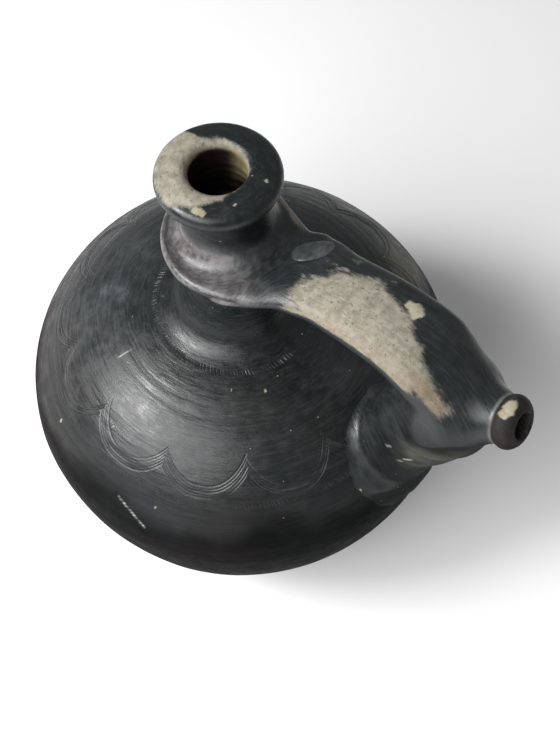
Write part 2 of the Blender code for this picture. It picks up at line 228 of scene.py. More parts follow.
def belly_outline():
    """Outside of the belly from the foot ring up to the widest line."""
    foot = bezier((FLOOR_R, FOOT_H), (54, FOOT_H), (57.6, FOOT_H), (60.6, FOOT_H + 1.42), 16)
    turn = math.degrees(math.asin((FOOT_H + 1.42) / BELLY_R))
    return joined(foot, arc((0, 0), BELLY_R, turn, 0, 240))


def shoulder_outline():
    """Outside of the shoulder from the widest line to the foot of the neck."""
    return bezier((BELLY_R, 0), (BELLY_R, 37.4), (91, 65.2), (SHOULDER_R, SHOULDER_RISE), 300)


def stem_outline(top):
    """Outside of the neck's trumpet foot, up to a height."""
    foot = bezier((SHOULDER_R, SHOULDER_RISE), (31, 77.4), (24, 84), (24, 108), 90)
    points = joined(foot, bezier(*STEM_RISE, 60))
    last = (np.interp(top, points[:, 1], points[:, 0]), top)
    return np.vstack((points[points[:, 1] < top - 0.05], [last]))


def neck_outline():
    """Closed outline of the neck's wall from inside the stem up over the mouth and down the bore."""
    under = bezier((26.8, 129), (29.4, 130.2), (32.8, 132), (34.4, 135.8), 12)
    rim = arc((33, 138), 3, -30, 80, 14)
    top = bezier((31.6, 140.4), (28, 139.6), (24, 142.2), (22.8, 146.5), 18)
    low = bezier((22.7, 146.8), (21.2, 149.5), (20.4, 152.5), (20.4, 157), 14)
    high = bezier((20.4, 157), (20.4, 162), (21.4, 167), (23.6, 170), 14)
    edge = arc((23.5, 176.1), 4.8, -55, 75, 22)
    crown = bezier((23, 181.2), (20, 182.1), (17.5, 182.6), (15.4, 181.9), 10)
    throat = bezier((15.4, 181.9), (13.6, 181.2), (12.8, 179.6), (12.8, 176.5), 10)
    depth = np.linspace(174, 100, 60)
    ripple = np.sin(depth * 1.1 + 1.3 * np.sin(depth * 0.31))
    ridges = 13.2 + 0.24 * ripple * smooth(174, 168, depth)
    return joined(np.array([(24, 100)]), bezier(*STEM_RISE, 24), under, rim, top, low, high, edge,
                  crown, throat, np.column_stack((ridges, depth)))


def outline_distance(outline, x, y):
    """Signed distance to a closed plane outline, negative inside, and the nearest point's place along it."""
    run = lengths(outline)
    best = np.full(x.shape, 1e9)
    place = np.zeros(x.shape)
    inside = np.zeros(x.shape, bool)
    for start, a, b in zip(run, outline, np.roll(outline, -1, axis=0)):
        d = b - a
        length2 = max(float(d @ d), 1e-12)
        t = unit(((x - a[0]) * d[0] + (y - a[1]) * d[1]) / length2)
        gap = (x - a[0] - t * d[0]) ** 2 + (y - a[1] - t * d[1]) ** 2
        near = gap < best
        best = np.where(near, gap, best)
        place = np.where(near, start + t * math.sqrt(length2), place)
        if a[1] != b[1]:
            crosses = (a[1] > y) != (b[1] > y)
            inside ^= crosses & (x < a[0] + (y - a[1]) / (b[1] - a[1]) * d[0])
    return np.where(inside, -1, 1) * np.sqrt(best), place


class Outline:
    """Signed distance to a closed (r, h) outline, negative inside, tabulated on a grid."""

    CELL = 0.4
    MARGIN = 16

    def __init__(self, points):
        self.low = points.min(axis=0) - self.MARGIN
        high = points.max(axis=0) + self.MARGIN
        count = np.ceil((high - self.low) / self.CELL).astype(int) + 1
        r = self.low[0] + self.CELL * np.arange(count[0])
        h = self.low[1] + self.CELL * np.arange(count[1])
        grid_r, grid_h = np.meshgrid(r, h, indexing="ij")
        self.distance, self.place = outline_distance(points, grid_r, grid_h)

    def _read(self, table, r, h):
        u = np.clip((r - self.low[0]) / self.CELL, 0, table.shape[0] - 1.001)
        v = np.clip((h - self.low[1]) / self.CELL, 0, table.shape[1] - 1.001)
        i, j = u.astype(int), v.astype(int)
        fu, fv = u - i, v - j
        low = table[i, j] * (1 - fu) + table[i + 1, j] * fu
        high = table[i, j + 1] * (1 - fu) + table[i + 1, j + 1] * fu
        return low * (1 - fv) + high * fv

    def at(self, r, h):
        """Signed distance at points given by radius and height."""
        return self._read(self.distance, r, h)

    def along(self, r, h):
        """Distance along the outline of the outline's nearest point."""
        return self._read(self.place, r, h)


# ---- how the hand left the clay


def belly_offset(h):
    """How far the belly stands off the axis at a height, as two lengths across."""
    share = smooth(-95, -30, h) * (1 - smooth(40, 74, h)) * BELLY_SHIFT
    turn = math.radians(BELLY_SHIFT_AZ)
    return share * math.cos(turn), share * math.sin(turn)


def unevenness(points):
    """Slow swells and dips left by the hands, in mm along the surface normal."""
    return 0.30 * noise(points, 52, 11) + 0.14 * noise(points, 21, 12) + 0.03 * noise(points, 7, 13)


def throwing_rings(s, azimuth):
    """Shallow rings round the wheel-thrown clay, in mm."""
    turn = np.column_stack((s / 3.1, 0.9 * np.cos(azimuth), 0.9 * np.sin(azimuth)))
    fine = np.column_stack((s / 1.3, 1.7 * np.cos(azimuth), 1.7 * np.sin(azimuth)))
    return 0.085 * noise(turn, 1, 21) + 0.028 * noise(fine, 1, 22)


# ---- incised bands on the shoulder


def groove(distance, width):
    """Rounded scratch across a distance: 1 in its middle, 0 beyond half its width."""
    return unit(1 - (distance / (0.5 * width)) ** 2)


def ring_points(azimuth, radius):
    """Points of a level circle."""
    return radius * np.column_stack((np.cos(azimuth), np.sin(azimuth), 0 * azimuth))


def festoon_comb(s, azimuth):
    """Depth share of the combed garlands: a comb drawn in hanging loops from cusp to cusp."""
    step = math.tau / FESTOONS
    turn = (azimuth - math.radians(FESTOON_AZ)) / step
    number = np.floor(turn)
    u = (turn - number) * 2 - 1
    hand = number_value(number, 5)
    sag = 15 + 2.4 * (hand - 0.5)
    loop = FESTOON_TOP_S - sag * (1 - np.abs(u + 0.12 * (hand - 0.5)) ** 2.4)
    slope = sag * 2.4 * np.abs(u) ** 1.4 / (FESTOON_R * step * 0.5)
    ring = ring_points(azimuth, FESTOON_R)
    total = np.zeros(len(s))
    for tooth in range(COMB_TEETH):
        line = loop + (tooth - 0.5 * (COMB_TEETH - 1)) * COMB_PITCH * (1 + 0.25 * slope)
        line = line + 0.45 * noise(ring, 17, 43) + 0.22 * noise(ring, 7, 44 + tooth)
        away = np.abs(s - line) / np.sqrt(1 + slope * slope)
        pressed = unit(0.55 + 0.75 * noise(ring, 13, 50 + tooth))
        total = np.maximum(total, groove(away, 0.9) * pressed)
    return total


def dash_ring(s, azimuth, at, reach, count, seed, width):
    """Depth share of a ring of short strokes, slanting and unevenly pressed."""
    turn = azimuth / math.tau * count + 0.16 * (s - at)
    number = np.round(turn).astype(np.int64)
    jitter, tall, firm = (number_value(number % count, seed + k) for k in range(3))
    jitter = jitter - 0.5
    tall = reach * (0.8 + 0.4 * tall)
    ring = ring_points(azimuth, 60)
    pressed = np.clip(0.85 + 0.9 * noise(ring, 16, seed + 5), 0.15, 1) * (0.3 + 0.7 * firm)
    at = at + 0.7 * noise(ring, 22, seed + 6)
    radius = np.interp(at, BODY_RUN, BODY_LINE[:, 0])
    away = (turn - number - 0.55 * jitter) * math.tau / count * radius
    end = unit((tall * 0.5 - np.abs(s - at - 0.5 * jitter)) / 0.4)
    return groove(np.abs(away), width) * end * pressed


def incised(s, azimuth):
    """All of the tool marks on the shoulder, 0 to 1."""
    marks = festoon_comb(s, azimuth)
    marks = np.maximum(marks, dash_ring(s, azimuth, UPPER_DASH_S, 3.4, UPPER_DASHES, 31, 0.75))
    marks = np.maximum(marks, 0.8 * dash_ring(s, azimuth, LOWER_DASH_S, 3, LOWER_DASHES, 35, 0.8))
    return marks


# The outside of the turned body, from the foot ring to the cut below the collar.
LOWER = belly_outline()
UPPER = shoulder_outline()
STEM = stem_outline(STEM_CUT)
BODY_LINE = joined(LOWER, UPPER, STEM)
BODY_RUN = lengths(BODY_LINE)
LOWER_END = lengths(LOWER)[-1]
UPPER_END = LOWER_END + lengths(UPPER)[-1]
UPPER_RUN = LOWER_END + lengths(UPPER)


def s_at_radius(radius):
    """Distance along the body's outline where the shoulder has a radius."""
    return float(np.interp(-radius, -UPPER[:, 0], UPPER_RUN))


FESTOON_TOP_S = s_at_radius(86)
LOWER_DASH_S = s_at_radius(102.6)
UPPER_DASH_S = s_at_radius(42.6)


# ---- mesh making


def to_world(points):
    """Millimetres with heights above the widest line, as metres in the frame."""
    return (points + np.array((0, 0, EQUATOR))) * MM


def linked(name, data):
    """New object of the scene that holds some data."""
    thing = bpy.data.objects.new(name, data)
    bpy.context.scene.collection.objects.link(thing)
    return thing


def grid_quads(rows, columns, closed):
    """Quads of a grid that wraps round its columns, and round its rows as well if it is closed."""
    starts = np.arange(rows if closed else rows - 1)
    i, j = (k.ravel() for k in np.meshgrid(starts, np.arange(columns), indexing="ij"))
    i2, j2 = (i + 1) % rows, (j + 1) % columns
    return np.column_stack((i * columns + j, i * columns + j2, i2 * columns + j2, i2 * columns + j))


def mesh_from(name, points, quads, paint, loop_normals=None):
    """Mesh object with painted per-point values; zero normals are worked out by Blender."""
    mesh = bpy.data.meshes.new(name)
    mesh.vertices.add(len(points))
    mesh.vertices.foreach_set("co", to_world(points).astype(np.float32).ravel())
    mesh.loops.add(quads.size)
    mesh.loops.foreach_set("vertex_index", quads.astype(np.int32).ravel())
    mesh.polygons.add(len(quads))
    mesh.polygons.foreach_set("loop_start", np.arange(0, quads.size, 4, dtype=np.int32))
    mesh.update(calc_edges=True)
    mesh.polygons.foreach_set("use_smooth", np.ones(len(quads), bool))
    for key, values in paint.items():
        kind, field = ("FLOAT_VECTOR", "vector") if values.ndim == 2 else ("FLOAT", "value")
        layer = mesh.attributes.new(key, kind, "POINT")
        layer.data.foreach_set(field, values.astype(np.float32).ravel())
    if loop_normals is not None:
        mesh.normals_split_custom_set(loop_normals.reshape(-1, 3).astype(np.float32))
    return linked(name, mesh)


def grid_normals(points):
    """Normals of a (row, column) grid of points that is closed round its columns."""
    across = np.roll(points, -1, axis=1) - np.roll(points, 1, axis=1)
    up = np.gradient(points, axis=0)
    return unit_rows(np.cross(across, up))


def turned_rows():
    """Distances along the body's outline of the grid rows, closest where the clay is incised."""
    lower = np.linspace(0, LOWER_END, 84)
    bands = ((LOWER_END, LOWER_DASH_S - 4, 1.15), (LOWER_DASH_S - 4, FESTOON_TOP_S + 5, 0.46),
             (FESTOON_TOP_S + 5, UPPER_DASH_S - 2.4, 1.25), (UPPER_DASH_S - 2.4, UPPER_END, 0.5))
    upper = [np.linspace(a, b, max(int((b - a) / step), 2) + 1)[:-1] for a, b, step in bands]
    upper = np.concatenate(upper + [[UPPER_END]])
    stem = np.linspace(UPPER_END, BODY_RUN[-1], 84)
    return lower, upper, stem


def turned_grid(rows, columns):
    """Displaced points of the turned body, its tool marks, and where each point was before."""
    line = resampled(BODY_LINE, rows)
    slope = unit_rows(resampled(BODY_LINE, rows + 0.4) - resampled(BODY_LINE, np.maximum(rows - 0.4, 0)))
    azimuth = np.tile(np.arange(columns) * math.tau / columns, len(rows))
    by_row = np.column_stack((rows, line, slope[:, 1], -slope[:, 0]))
    s, r, h, out_r, out_h = np.repeat(by_row, columns, axis=0).T
    flat = np.column_stack((r * np.cos(azimuth), r * np.sin(azimuth), h))
    live = smooth(0, 14, s)
    depth = live * unevenness(flat) + live * throwing_rings(s, azimuth)
    marks = np.zeros(len(flat))
    near = (s > LOWER_DASH_S - 4) & (s < UPPER_END + 3)
    marks[near] = incised(s[near], azimuth[near])
    depth -= INCISED_DEPTH * marks + CHIP_DEPTH * chip_mask(flat)
    off_x, off_y = belly_offset(h)
    move_r = out_r * depth
    points = flat + np.column_stack((move_r * np.cos(azimuth) + off_x,
                                     move_r * np.sin(azimuth) + off_y, out_h * depth))
    return points.reshape(len(rows), columns, 3), marks, flat, s, azimuth


def turned_piece(name, rows, columns, inner):
    """Closed ring of clay: the fine outside, then a plain inside wall back down to the start."""
    points, marks, flat, s, azimuth = turned_grid(rows, columns)
    normals = grid_normals(points).reshape(-1, 3)
    paint = paint_body(flat, normals, s, azimuth)
    paint["groove"] = marks
    turn = azimuth[:columns]
    walls = [np.column_stack((r * np.cos(turn), r * np.sin(turn), np.full(columns, h))) for r, h in inner]
    tail = len(inner) * columns
    full = {key: np.concatenate((values, np.zeros((tail,) + values.shape[1:])))
            for key, values in paint.items()}
    quads = grid_quads(len(rows) + len(inner), columns, closed=True)
    loop_normals = np.vstack((normals, np.zeros((tail, 3))))[quads]
    loop_normals[(len(rows) - 1) * columns :] = 0
    return mesh_from(name, np.vstack([points.reshape(-1, 3)] + walls), quads, full, loop_normals)


# ---- the blended clay body


def handle_line():
    """Centreline of the strap in the plane y = 0, with half width and thickness at each point."""
    line = joined(*(bezier(*run, 60) for run in HANDLE_PATH))
    run = lengths(line)
    keys = np.array(HANDLE_KEYS)
    line = resampled(line, np.linspace(0, run[-1], 150))
    run = lengths(line)
    return line, run, eased(run, keys[:, 0], keys[:, 1]), eased(run, keys[:, 0], keys[:, 2])


def eased(at, keys, values):
    """Smooth values between keys, with no overshoot."""
    i = np.clip(np.searchsorted(keys, at, side="right") - 1, 0, len(keys) - 2)
    share = smooth(0, 1, (at - keys[i]) / (keys[i + 1] - keys[i]))
    return values[i] * (1 - share) + values[i + 1] * share


def horn_line():
    """Centreline of the spout in the plane y = 0, with the clay's radius at each point."""
    rise = math.radians(NOZZLE_RISE)
    axis = np.array((math.cos(rise), math.sin(rise)))
    root, pull, tip = HORN_PATH
    line = bezier(root, pull, tuple(np.array(tip) - NOZZLE_PULL * axis), tip, 110)
    t = np.linspace(0, 1, 111)
    keys = np.linspace(0, 1, len(HORN_RADII))
    radius = eased(t, keys, np.array(HORN_RADII))
    far = np.linspace(0, NOZZLE_LEN + 2, 14)[1:]
    line = np.vstack((line, np.array(tip) + far[:, None] * axis))
    radius = np.concatenate((radius, HORN_RADII[-1] + (NOZZLE_END_R - HORN_RADII[-1]) * far / NOZZLE_LEN))
    return line, radius, axis


def nearest(line, x, h):
    """Nearest place on a plane polyline to each point: index, tangent offset and normal offset."""
    spot = np.empty(len(x), int)
    for start in range(0, len(x), 40000):
        part = slice(start, start + 40000)
        gap = (x[part, None] - line[None, :, 0]) ** 2 + (h[part, None] - line[None, :, 1]) ** 2
        spot[part] = gap.argmin(axis=1)
    dx, dh = x - line[spot, 0], h - line[spot, 1]
    t = unit_rows(np.gradient(line, axis=0))[spot]
    return spot, dx * t[:, 0] + dh * t[:, 1], dh * t[:, 0] - dx * t[:, 1]


HANDLE_LINE, HANDLE_RUN, HANDLE_WIDE, HANDLE_THICK = handle_line()
HORN_LINE, HORN_R, NOZZLE_AXIS = horn_line()
NOZZLE_FOOT = np.array(HORN_PATH[-1])
NECK_SHAPE = Outline(neck_outline())
BODY_SKIN = BODY_LINE[(BODY_LINE[:, 1] > -60) & (BODY_RUN < UPPER_END)][::2]
BODY_LID = [(SHOULDER_R, SHOULDER_RISE), (0, SHOULDER_RISE)]
BODY_SHAPE = Outline(np.vstack(([(0, -60)], BODY_SKIN, BODY_LID)))


def handle_place(p):
    """Distance along the strap and height over its centreline, at each point."""
    spot, along, across = nearest(HANDLE_LINE, p[:, 0], p[:, 2])
    return HANDLE_RUN[spot] + along, across


def handle_field(p):
    """The strap: a flattened round section swept along its centreline."""
    run, across = handle_place(p)
    wide = np.interp(run, HANDLE_RUN, HANDLE_WIDE)
    thick = np.interp(run, HANDLE_RUN, HANDLE_THICK)
    side = p[:, 1] + HANDLE_DRIFT * bump(25, 22, run)
    a, b = np.abs(side / wide) + 1e-6, np.abs(across / thick) + 1e-6
    g = (a**HANDLE_POWER + b**HANDLE_POWER) ** (1 / HANDLE_POWER)
    lift = g ** (1 - HANDLE_POWER)
    steep = np.hypot(lift * a ** (HANDLE_POWER - 1) / wide, lift * b ** (HANDLE_POWER - 1) / thick)
    past = np.maximum(-run, run - HANDLE_RUN[-1])
    return np.maximum((g - 1) / np.maximum(steep, 0.5 / wide), past)


def nozzle_place(p):
    """Distance out along the nozzle from its foot, distance off its axis, and height over its axis."""
    dx, dh = p[:, 0] - NOZZLE_FOOT[0], p[:, 2] - NOZZLE_FOOT[1]
    out = dx * NOZZLE_AXIS[0] + dh * NOZZLE_AXIS[1]
    up = dh * NOZZLE_AXIS[0] - dx * NOZZLE_AXIS[1]
    return out, np.hypot(up, p[:, 1]), up


def tube_field(p, first, last):
    """Distance to the round clay along a run of the spout's centreline."""
    line, thick = HORN_LINE[first:last], HORN_R[first:last]
    spot, along, across = nearest(line, p[:, 0], p[:, 2])
    step = np.clip(spot + along / 1.2, 0, len(thick) - 1.001)
    radius = np.interp(step, np.arange(len(thick)), thick)
    past = np.where((spot == 0) | (spot == len(thick) - 1), along, 0)
    return np.hypot(np.hypot(across, p[:, 1]), past) - radius


def horn_field(p):
    """The spout: its rising horn and its nozzle, with a fillet in the bend, and the rim bead."""
    tube = smooth_min(tube_field(p, 0, HORN_BEND[1]), tube_field(p, HORN_BEND[0], len(HORN_LINE)), 6)
    out, off, _ = nozzle_place(p)
    end = out - (NOZZLE_LEN + 2)
    tube = np.where(end > 0, np.maximum(end, off - NOZZLE_END_R), tube)
    share = np.hypot((out - BEAD_AT) / BEAD_HALF, off / BEAD_R) + 1e-6
    steep = np.hypot((out - BEAD_AT) / BEAD_HALF**2, off / BEAD_R**2) / share
    bead = (share - 1) / np.maximum(steep, 0.5 / BEAD_R)
    bead = -smooth_min(-bead, BEAD_AT + BEAD_FACE - out, 1.6)
    return smooth_min(tube, bead, 0.9)


def neck_field(p):
    """The leaning neck and mouth, with the flange drawn out toward the strap."""
    lean = np.clip((p[:, 2] - LEAN_FROM) / (LEAN_TO - LEAN_FROM), 0, 1.2)
    x, y = p[:, 0] - NECK_LEAN[0] * lean, p[:, 1] - NECK_LEAN[1] * lean
    flange = smooth(125, 131, p[:, 2]) * (1 - smooth(146, 149, p[:, 2]))
    x0 = x
    for _ in range(3):
        share = unit((np.hypot(x0, y) - COLLAR_TOP_R) / (COLLAR_R - COLLAR_TOP_R))
        x0 = x - COLLAR_DRAW * share * flange
    return NECK_SHAPE.at(np.hypot(x0, y), p[:, 2])


def web_side(p):
    """Distance past the flat that the collar is pared to, on the far side of the strap's root."""
    turn = math.radians(WEB_AZ)
    flat = p[:, 0] * math.cos(turn) + p[:, 1] * math.sin(turn) - WEB_FLAT
    return flat - 12 * smooth(31, 46, p[:, 0]) - 60 * smooth(46, 110, p[:, 0])


def body_field(p):
    """The belly."""
    off = belly_offset(p[:, 2])
    return BODY_SHAPE.at(np.hypot(p[:, 0] - off[0], p[:, 1] - off[1]), p[:, 2])


def weld_field(p, body):
    """The clay smeared round the root of the spout, as a swelling of the belly."""
    off = belly_offset(p[:, 2])
    radius = np.hypot(p[:, 0] - off[0], p[:, 1] - off[1])
    up = BODY_SHAPE.along(radius, p[:, 2]) - BODY_START_S - WELD_AT
    side = np.arctan2(p[:, 1], p[:, 0]) * radius
    ragged = 0.06 * noise(p, 8, 41)
    share = np.hypot(side / WELD_HALF[0], up / WELD_HALF[1]) + ragged
    thick = WELD_THICK[0] + (WELD_THICK[1] - WELD_THICK[0]) * unit(1 - share * share)
    return body - np.where(share < 1, thick, WELD_THICK[0] - 30 * (share - 1))


# Where the widest line lies along the outline that BODY_SHAPE was made from.
BODY_START_S = float(BODY_SHAPE.along(np.array([BELLY_R]), np.array([0]))[0])


def clay_parts(p):
    """The added clay by itself, and the belly a little shrunk so that it hides under its skin."""
    swell = unevenness(p)
    body = body_field(p)
    upper = smooth_min(neck_field(p), handle_field(p), 9)
    upper = -smooth_min(-upper, -web_side(p), 5)
    horn = smooth_min(horn_field(p), weld_field(p, body), 4)
    added = smooth_min(upper, horn, 18)
    return added - swell, body - swell + 0.18


def clay_field(p):
    """Signed distance to the whole of the added clay where it grows out of the belly."""
    added, body = clay_parts(p)
    whole = smooth_min(added, body, 5)
    out, off, _ = nozzle_place(p)
    flare = NOZZLE_BORE_R + 0.5 * smooth(BEAD_AT + BEAD_FACE - 2, BEAD_AT + BEAD_FACE, out)
    bore = np.maximum(off - flare, -(out + 12))
    return -smooth_min(-whole, bore, 0.9)


def surface_net(field, low, high, cell):
    """Quads of the zero surface of a field: one point for each cell that the surface crosses."""
    count = np.ceil((high - low) / cell).astype(int) + 1
    block = 5
    coarse = np.ceil(count / block).astype(int)
    grid = np.stack(np.meshgrid(*(np.arange(n) for n in coarse), indexing="ij"), axis=-1).reshape(-1, 3)
    rough = field(low + (grid * block + 0.5 * (block - 1)) * cell)
    near = np.abs(rough) < 1.35 * 0.5 * math.sqrt(3.0) * block * cell + 1.0
    values = np.repeat(np.repeat(np.repeat(rough.reshape(coarse), block, 0), block, 1), block, 2)
    values = np.where(values < 0.0, -9.0, 9.0)[: count[0], : count[1], : count[2]]
    inner = np.stack(np.meshgrid(*(np.arange(block),) * 3, indexing="ij"), axis=-1).reshape(-1, 3)
    fine = (grid[near][:, None, :] * block + inner[None]).reshape(-1, 3)
    fine = fine[(fine < count).all(axis=1)]
    batches = np.array_split(fine, 1 + len(fine) // 200000)
    values[tuple(fine.T)] = np.concatenate([field(low + batch * cell) for batch in batches])
    negative = values < 0.0
    strides = np.array((count[1] * count[2], count[2], 1))
    axes = np.eye(3, dtype=int)
    spots, quads = [], []
    for axis in range(3):
        a, b = [slice(None)] * 3, [slice(None)] * 3
        a[axis], b[axis] = slice(0, -1), slice(1, None)
        change = np.argwhere(negative[tuple(a)] != negative[tuple(b)])
        change = change[(change > 0).all(axis=1) & (change < count - 1).all(axis=1)]
        step, u, v = axes[axis], axes[(axis + 1) % 3], axes[(axis + 2) % 3]
        v0 = values[tuple(change.T)]
        v1 = values[tuple((change + step).T)]
        point = low + (change + step * (v0 / (v0 - v1))[:, None]) * cell
        ids = np.stack([r @ strides for r in (change - u - v, change - v, change, change - u)], axis=1)
        flip = v0 > 0.0
        ids[flip] = ids[flip][:, ::-1]
        quads.append(ids)
        spots.append(np.repeat(point, 4, axis=0))
    quads, spots = np.concatenate(quads), np.concatenate(spots)
    _, index = np.unique(quads.ravel(), return_inverse=True)
    weight = np.bincount(index)
    points = np.column_stack([np.bincount(index, spots[:, k]) / weight for k in range(3)])
    return points, index.reshape(-1, 4)


def gradient(field, p, reach):
    """Slope of a field by central differences."""
    parts = []
    for axis in range(3):
        step = np.zeros(3)
        step[axis] = reach
        parts.append((field(p + step) - field(p - step)) / (2 * reach))
    return np.column_stack(parts)


def face_smooth_normals(points, quads):
    """Area-weighted normals at the points of a quad mesh."""
    one = points[quads[:, 2]] - points[quads[:, 0]]
    two = points[quads[:, 3]] - points[quads[:, 1]]
    normal = np.cross(one, two)
    total = np.zeros_like(points)
    for corner in range(4):
        for k in range(3):
            total[:, k] += np.bincount(quads[:, corner], normal[:, k], minlength=len(points))
    return unit_rows(total)


def blended_mesh():
    """Points, quads and normals of the collar, mouth, strap and spout in one skin."""
    low, high = np.array((-42, -42, -16)), np.array((168, 42, 187))
    points, quads = surface_net(clay_field, low, high, NET_CELL)
    for _ in range(2):
        slope = gradient(clay_field, points, 0.15)
        value = clay_field(points)
        move = slope * (value / np.maximum((slope**2).sum(axis=1), 0.25))[:, None]
        points = points - np.clip(move, -0.6, 0.6)
    added, _ = clay_parts(points)
    drop = (added > 7) | (points[:, 2] < STEM_CUT - 3) & (points[:, 0] < 60)
    used, quads = np.unique(quads[~drop[quads].any(axis=1)], return_inverse=True)
    points, quads = points[used], quads.reshape(-1, 4)
    return points, quads, face_smooth_normals(points, quads)


def cut_piece(name, source, planes):
    """The part of a mesh on the inner side of some planes, closed where it is cut."""
    bm = bmesh.new()
    bm.from_mesh(source.data)
    bm.normal_update()
    caps = []
    for point, outward in planes:
        place, way = Vector(to_world(np.array(point))), Vector(outward)
        result = bmesh.ops.bisect_plane(bm, geom=bm.verts[:] + bm.edges[:] + bm.faces[:], dist=1e-7,
                                        plane_co=place, plane_no=way, clear_outer=True)
        rims = [e for e in result["geom_cut"] if isinstance(e, bmesh.types.BMEdge) and e.is_boundary]
        if rims:
            made = bmesh.ops.triangle_fill(bm, edges=rims, use_beauty=False, normal=way)
            caps += [f for f in made["geom"] if isinstance(f, bmesh.types.BMFace)]
    caps = {f for f in caps if f.is_valid}
    for face in caps:
        face.smooth = False
    bmesh.ops.delete(bm, geom=[v for v in bm.verts if not v.link_faces], context="VERTS")
    bm.faces.index_update()
    flat = {f.index for f in caps}
    mesh = bpy.data.meshes.new(name)
    bm.to_mesh(mesh)
    bm.free()
    normals = np.empty(len(mesh.vertices) * 3, np.float32)
    mesh.attributes["way_out"].data.foreach_get("vector", normals)
    corner = np.empty(len(mesh.loops), np.int32)
    mesh.loops.foreach_get("vertex_index", corner)
    normals = unit_rows(normals.reshape(-1, 3)[corner])
    for index in flat:
        face = mesh.polygons[index]
        normals[face.loop_start : face.loop_start + face.loop_total] = 0
    mesh.normals_split_custom_set(normals)
    return linked(name, mesh)


# ---- what smoke, hands and years left, and painted shade and light


# Chips down to the pale clay: centre and half sizes along x, y and h, in mm.
CHIPS = (
    ((96.8, 6.9, 153.6), (4.4, 4, 3)),
    ((5.8, -23.8, 181.2), (3.4, 2, 2)),
    ((151.2, -1.6, 139.8), (2.9, 6.8, 3.3)),
    ((121.4, -20, 102.6), (2.4, 2.5, 3)),
    ((105.2, -32.2, 34.7), (1, 1, 1)),
    ((-42.1, -98.9, 38.2), (0.9, 0.9, 0.9)),
    ((28.7, -104.6, 36.9), (0.8, 0.8, 0.8)),
    ((-10.1, -88.2, 56.2), (0.8, 0.8, 0.8)),
    ((43.5, -31.2, 72.2), (0.7, 0.7, 0.7)),
    ((30.3, -41.7, 72.7), (0.7, 0.7, 0.7)),
    ((18.6, 5.8, 181.6), (0.9, 0.9, 0.9)),
    ((16.2, -12.1, 182), (0.8, 0.8, 0.8)),
    ((-3.5, -22.5, 148), (0.9, 0.9, 0.9)),
    ((31.9, 3.2, 141), (0.8, 0.8, 0.8)),
)


def chip_mask(p):
    """1 inside the chips, with ragged edges."""
    ragged = 0.30 * noise(p, 2.2, 51) + 0.12 * noise(p, 0.9, 52)
    total = np.zeros(len(p))
    for centre, half in CHIPS:
        share = np.linalg.norm((p - np.array(centre)) / np.array(half), axis=1)
        total = np.maximum(total, 1 - smooth(0.82, 1.02, share + ragged))
    return total


# Scrapes that show pale: ends and width, in mm.
SCRAPES = (
    ((-29.1, -60.2, 67.2), (-25.5, -52.9, 70.2), 0.9),
    ((8.7, -110.6, 32.7), (17.7, -111.7, 27.9), 1.1),
    ((17.7, -111.7, 27.9), (26.2, -112.5, 21.4), 1.2),
    ((131.7, -13.8, 126), (134.2, -10.8, 127), 0.8),
    ((93.9, -3, 74), (101, -12, 72), 0.7),
    ((113.6, -18.6, 95), (116.4, -18.3, 103), 1.2),
    ((111, -19.9, 83.5), (113.4, -19.9, 87.5), 1.3),
    ((120, -21, 82.5), (123.5, -21, 87), 1.2),
    ((116.8, -21.4, 73.5), (119.4, -21.4, 76.5), 1),
)


def line_mask(p, n, a, b, width):
    """1 on the surface beside a line between two points, easing to 0 at half its width."""
    a, b = np.array(a), np.array(b)
    d = b - a
    t = unit(((p - a) @ d) / (d @ d))
    away = p - a - t[:, None] * d
    over = (away * n).sum(axis=1, keepdims=True)
    beside = np.linalg.norm(away - over * n, axis=1)
    return unit(1.35 - beside / (0.5 * width)) * (np.abs(over[:, 0]) < 4)


def scrape_mask(p, n):
    """Thin pale scratches, here and there broken off."""
    broken = unit(0.62 + 0.9 * noise(p, 1.6, 55))
    total = np.zeros(len(p))
    for a, b, width in SCRAPES:
        total = np.maximum(total, line_mask(p, n, a, b, width))
    return total * broken


def blob(p, centre, half):
    """1 at a centre, easing to 0 at an ellipsoid's surface."""
    return 1 - smooth(0, 1, np.linalg.norm((p - np.array(centre)) / np.array(half), axis=1))


def side_of(outline, x, y):
    """Signed distance to a closed plane outline, positive inside."""
    return -outline_distance(np.array(outline), x, y)[0]


# Seen from above, the unsmoked patch on the strap, in (x, y).
STRAP_CLOUD = ((47, -26), (51, -14.5), (53, -5), (58, 4.5), (66, 9.2), (76, 10.5),
               (86.5, 7), (95, 3), (104.5, -3.2), (113.5, -8.8), (122, -13), (131, -14.4),
               (128, -18.5), (116, -22), (104, -30), (66, -34))
# Seen from above, how far out from the mouth's middle its unsmoked patch reaches: azimuth, radius.
LIP_CLOUD = ((-180, 32), (-106, 30), (-94, 25), (-73, 21), (-53, 17.6), (-25, 14.8),
             (53, 13.8), (97, 14), (132, 15.2), (154, 18.7), (166, 30), (180, 32))


def comb_of(azimuth, s):
    """Coordinates in which the potter's strokes run one way: across in the first, along in the others."""
    return np.column_stack((s, 9 * np.cos(azimuth), 9 * np.sin(azimuth)))


def painted_low_shade(p):
    """Painted shade: 1 low on the belly and 0.5 far out from the axis, fading up into the polished shoulder;
    it darkens the colour and dims the reflection.
    """
    low = smooth(54, 20, p[:, 2] + 10 * cloudy(p, 34, 63))
    return np.maximum(low, 0.5 * smooth(92, 114, np.hypot(p[:, 0], p[:, 1])))


